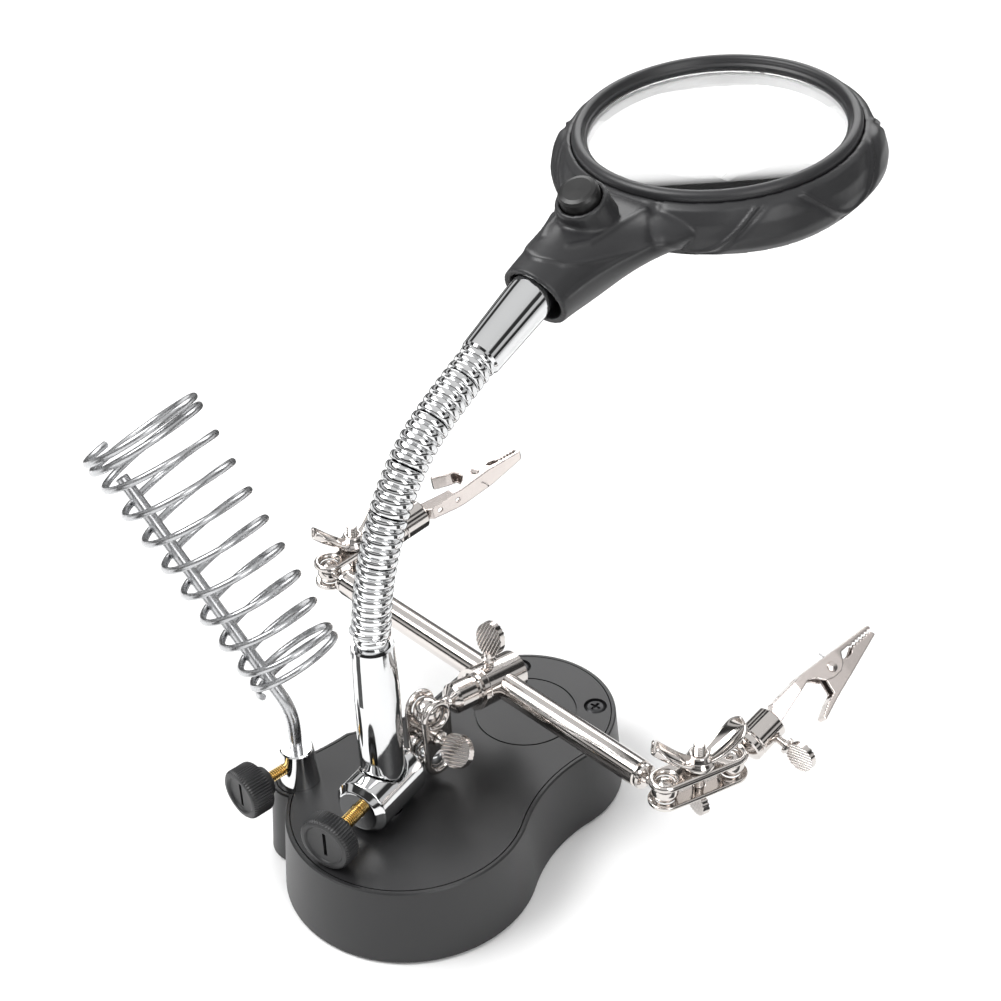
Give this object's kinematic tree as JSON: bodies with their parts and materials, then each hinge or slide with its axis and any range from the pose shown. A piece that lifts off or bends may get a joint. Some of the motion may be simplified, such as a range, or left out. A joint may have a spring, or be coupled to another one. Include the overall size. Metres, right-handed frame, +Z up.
{
  "type": "helping hands station",
  "caption": "Weighted bench stand with a gooseneck ring magnifier, a crossbar with spring clips on ball clamps, and a coil rest for an iron.",
  "frame": {"origin": "on the bench under the centre of the base's front lobe, at the face of the anti-slip pad", "axes": "+Z up, +Y from the front lobe to the rear lobe and the magnifier, +X to the right"},
  "size_m": [0.219, 0.2809, 0.2225],
  "materials": {
    "base_plastic": "satin black moulded plastic",
    "pad_rubber": "matt rubber sheet",
    "cell_sleeve": "plain printed sleeve, no marks",
    "ballast_iron": "rough cast",
    "black_steel": "black oxide",
    "chrome_plate": "bright chrome plate",
    "nickel_plate": "bright nickel plate",
    "clip_nickel": "nickel-plated folded sheet",
    "screw_brass": "turned brass thread",
    "knob_plastic": "black moulded plastic",
    "head_plastic": "finely textured black plastic",
    "button_plastic": "smooth black plastic",
    "lens_glass": "clear polished",
    "lamp_lens": "clear lamp dome"
  },
  "bodies": {
    "root": {"anti_slip_pad": "pad_rubber", "base_case": "base_plastic", "base_top_cover": "base_plastic", "base_bottom_plate": "base_plastic", "battery_door": "base_plastic", "battery_cells": "cell_sleeve", "ballast_plate": "ballast_iron", "cover_screws": "black_steel", "bottom_screws": "black_steel", "iron_sleeve": "chrome_plate"},
    "iron_stand": {"iron_rod": "chrome_plate", "iron_coil": "chrome_plate"},
    "stand_screw": {"iron_clamp_screw": "screw_brass"},
    "stand_knob": {"iron_knob": "knob_plastic"},
    "arm_block": {"clamp_block": "chrome_plate", "block_ball_stud": "chrome_plate"},
    "block_screw": {"main_clamp_screw": "screw_brass"},
    "block_knob": {"main_knob": "knob_plastic"},
    "post": {"gooseneck_post": "chrome_plate"},
    "head": {"gooseneck_collar": "chrome_plate", "head_upper_shell": "head_plastic", "head_lower_shell": "head_plastic", "main_lens": "lens_glass", "lens_bezel": "head_plastic", "head_lamps": "lamp_lens", "head_screws": "black_steel"},
    "button": {"light_button": "button_plastic"},
    "bracket": {"bracket_plate_outer": "nickel_plate", "bracket_plate_inner": "nickel_plate"},
    "bracket_screw": {"bracket_thumbscrew": "nickel_plate"},
    "tclamp": {"tclamp_neck": "nickel_plate"},
    "tsleeve": {"tclamp_sleeve": "nickel_plate"},
    "sleeve_screw": {"bar_thumbscrew": "nickel_plate"},
    "bar": {"crossbar": "nickel_plate"},
    "neck_1": {"neck_link_1": "chrome_plate"},
    "neck_2": {"neck_link_2": "chrome_plate"},
    "neck_3": {"neck_link_3": "chrome_plate"},
    "neck_4": {"neck_link_4": "chrome_plate"},
    "neck_5": {"neck_link_5": "chrome_plate"},
    "neck_6": {"neck_link_6": "chrome_plate"},
    "right_stud": {"right_bar_stud": "nickel_plate"},
    "right_plates": {"right_plate_upper": "nickel_plate", "right_plate_lower": "nickel_plate", "right_clamp_bolt": "nickel_plate"},
    "right_nut": {"right_wing_nut": "nickel_plate"},
    "right_holder": {"right_socket": "nickel_plate"},
    "right_holder_screw": {"right_socket_screw": "nickel_plate"},
    "right_clip": {"right_clip_body": "clip_nickel", "right_clip_rivet": "clip_nickel"},
    "right_jaw": {"right_clip_lever": "clip_nickel"},
    "left_stud": {"left_bar_stud": "nickel_plate"},
    "left_plates": {"left_plate_upper": "nickel_plate", "left_plate_lower": "nickel_plate", "left_clamp_bolt": "nickel_plate"},
    "left_nut": {"left_wing_nut": "nickel_plate"},
    "left_holder": {"left_socket": "nickel_plate"},
    "left_holder_screw": {"left_socket_screw": "nickel_plate"},
    "left_clip": {"left_clip_body": "clip_nickel", "left_clip_rivet": "clip_nickel"},
    "left_jaw": {"left_clip_lever": "clip_nickel"}
  },
  "joints": [
    {"name": "iron_stand_turn", "type": "hinge", "parent": "root", "child": "iron_stand", "pos_m": [-0.0385, -0.0137, 0], "axis": [0, 0, 1], "range_deg": [-50, 60]},
    {"name": "stand_screw_travel", "type": "slide", "parent": "root", "child": "stand_screw", "axis": [-0.1132, -0.9936, 0], "range_m": [0, 0.0016]},
    {"name": "stand_knob_turn", "type": "hinge", "parent": "stand_screw", "child": "stand_knob", "pos_m": [-0.0385, -0.0137, 0.0384], "axis": [-0.1132, -0.9936, 0], "range_deg": [0, 720]},
    {"name": "arm_swing", "type": "hinge", "parent": "root", "child": "arm_block", "pos_m": [-0.0052, -0.0052, 0], "axis": [0, 0, 1], "range_deg": [-25, 20]},
    {"name": "block_screw_travel", "type": "slide", "parent": "arm_block", "child": "block_screw", "axis": [0.1392, -0.9903, 0], "range_m": [0, 0.0016]},
    {"name": "block_knob_turn", "type": "hinge", "parent": "block_screw", "child": "block_knob", "pos_m": [-0.0052, -0.0052, 0.0407], "axis": [0.1392, -0.9903, 0], "range_deg": [0, 720]},
    {"name": "post_turn", "type": "hinge", "parent": "root", "child": "post", "pos_m": [-0.0052, -0.0052, 0], "axis": [0, 0, 1], "range_deg": [-60, 60]},
    {"name": "neck_bend", "type": "hinge", "parent": "post", "child": "neck_1", "pos_m": [-0.0052, -0.0052, 0.1055], "axis": [1, 0, 0], "range_deg": [-8, 7]},
    {"name": "neck_sway", "type": "hinge", "parent": "neck_1", "child": "neck_2", "pos_m": [-0.0052, -0.0026, 0.1219], "axis": [0, -0.9455, 0.3256], "range_deg": [-10, 10]},
    {"name": "neck_bend_2", "type": "hinge", "parent": "neck_2", "child": "neck_3", "pos_m": [-0.0052, 0.0028, 0.13759], "axis": [1, 0, 0], "range_deg": [-8, 7]},
    {"name": "neck_sway_2", "type": "hinge", "parent": "neck_3", "child": "neck_4", "pos_m": [-0.0052, 0.01085, 0.15211], "axis": [0, -0.7431, 0.6691], "range_deg": [-10, 10]},
    {"name": "neck_bend_3", "type": "hinge", "parent": "neck_4", "child": "neck_5", "pos_m": [-0.0052, 0.02196, 0.16445], "axis": [1, 0, 0], "range_deg": [-8, 7]},
    {"name": "neck_sway_3", "type": "hinge", "parent": "neck_5", "child": "neck_6", "pos_m": [-0.0052, 0.03603, 0.17324], "axis": [0, -0.4384, 0.8988], "range_deg": [-10, 10]},
    {"name": "head_tilt", "type": "hinge", "parent": "neck_6", "child": "head", "pos_m": [-0.0052, 0.05095, 0.18052], "axis": [1, 0, 0], "range_deg": [-12, 12]},
    {"name": "light_press", "type": "slide", "parent": "head", "child": "button", "axis": [0.0152, 0.4117, -0.9112], "range_m": [0, 0.0012], "stiffness_N_per_m": 400},
    {"name": "bracket_tilt", "type": "hinge", "parent": "arm_block", "child": "bracket", "pos_m": [-0.0045, 0.0173, 0.0396], "axis": [0.9951, -0.0977, 0.0161], "range_deg": [-4, 12]},
    {"name": "bracket_screw_turn", "type": "hinge", "parent": "bracket", "child": "bracket_screw", "pos_m": [-0.00465, 0.0173, 0.0489], "axis": [0.9951, -0.0977, 0.0161], "range_deg": [-90, 90]},
    {"name": "tclamp_tilt", "type": "hinge", "parent": "bracket", "child": "tclamp", "pos_m": [-0.0048, 0.0173, 0.0582], "axis": [0.9951, -0.0977, 0.0161], "range_deg": [-8, 30]},
    {"name": "tclamp_roll", "type": "hinge", "parent": "tclamp", "child": "tsleeve", "pos_m": [-0.0048, 0.0173, 0.0582], "axis": [0.0903, 0.9837, -0.1556], "range_deg": [-8, 8]},
    {"name": "bar_screw_turn", "type": "hinge", "parent": "tsleeve", "child": "sleeve_screw", "pos_m": [-0.00228, 0.04477, 0.05385], "axis": [0.0152, 0.1549, 0.9878], "range_deg": [-90, 90]},
    {"name": "bar_slide", "type": "slide", "parent": "tsleeve", "child": "bar", "axis": [0.9952, -0.0977, 0], "range_m": [-0.02, 0.02]},
    {"name": "right_clamp_roll", "type": "hinge", "parent": "bar", "child": "right_stud", "pos_m": [0.07821, 0.04104, 0.0532], "axis": [0.9952, -0.0977, 0], "range_deg": [-20, 25]},
    {"name": "right_plates_swing", "type": "hinge", "parent": "right_stud", "child": "right_plates", "pos_m": [0.07821, 0.04104, 0.0532], "axis": [0, 0, 1], "range_deg": [-30, 25]},
    {"name": "right_nut_turn", "type": "hinge", "parent": "right_plates", "child": "right_nut", "pos_m": [0.08287, 0.05291, 0.0532], "axis": [0, 0, 1], "range_deg": [0, 180]},
    {"name": "right_holder_swing", "type": "hinge", "parent": "right_plates", "child": "right_holder", "pos_m": [0.08752, 0.06478, 0.0532], "axis": [0, 0, 1], "range_deg": [-35, 35]},
    {"name": "right_holder_screw_turn", "type": "hinge", "parent": "right_holder", "child": "right_holder_screw", "pos_m": [0.08951, 0.08101, 0.0582], "axis": [0.9783, -0.0589, -0.1988], "range_deg": [-90, 90]},
    {"name": "right_clip_turn", "type": "hinge", "parent": "right_holder", "child": "right_clip", "pos_m": [0.08752, 0.06478, 0.0532], "axis": [0.1165, 0.9492, 0.2924], "range_deg": [-45, 45]},
    {"name": "right_jaw_open", "type": "hinge", "parent": "right_clip", "child": "right_jaw", "pos_m": [0.09416, 0.1112, 0.06677], "axis": [-0.583, 0.3037, -0.7536], "range_deg": [0, 18], "stiffness_Nm_per_rad": 0.02, "springref_deg": -20},
    {"name": "left_clamp_roll", "type": "hinge", "parent": "bar", "child": "left_stud", "pos_m": [-0.09216, 0.05776, 0.0532], "axis": [0.9952, -0.0977, 0], "range_deg": [-20, 25]},
    {"name": "left_plates_swing", "type": "hinge", "parent": "left_stud", "child": "left_plates", "pos_m": [-0.09216, 0.05776, 0.0532], "axis": [0, 0, -1], "range_deg": [-30, 25]},
    {"name": "left_nut_turn", "type": "hinge", "parent": "left_plates", "child": "left_nut", "pos_m": [-0.09172, 0.0705, 0.0532], "axis": [0, 0, 1], "range_deg": [0, 180]},
    {"name": "left_holder_swing", "type": "hinge", "parent": "left_plates", "child": "left_holder", "pos_m": [-0.09127, 0.08325, 0.0532], "axis": [0, 0, -1], "range_deg": [-35, 35]},
    {"name": "left_holder_screw_turn", "type": "hinge", "parent": "left_holder", "child": "left_holder_screw", "pos_m": [-0.08834, 0.09988, 0.05588], "axis": [-0.9689, 0.1378, 0.2054], "range_deg": [-90, 90]},
    {"name": "left_clip_turn", "type": "hinge", "parent": "left_holder", "child": "left_clip", "pos_m": [-0.09127, 0.08325, 0.0532], "axis": [0.1715, 0.9727, 0.1564], "range_deg": [-45, 45]},
    {"name": "left_jaw_open", "type": "hinge", "parent": "left_clip", "child": "left_jaw", "pos_m": [-0.08195, 0.13055, 0.06084], "axis": [-0.0272, -0.1541, 0.9877], "range_deg": [0, 18], "stiffness_Nm_per_rad": 0.02, "springref_deg": -20}
  ],
  "couplings": [
    {"joint": "stand_screw_travel", "follows": "stand_knob_turn", "m_per_rad": 0.00012732},
    {"joint": "block_screw_travel", "follows": "block_knob_turn", "m_per_rad": 0.00012732},
    {"joint": "neck_bend_2", "follows": "neck_bend", "ratio": 1},
    {"joint": "neck_bend_3", "follows": "neck_bend", "ratio": 1},
    {"joint": "neck_sway_2", "follows": "neck_sway", "ratio": 1},
    {"joint": "neck_sway_3", "follows": "neck_sway", "ratio": 1}
  ]
}
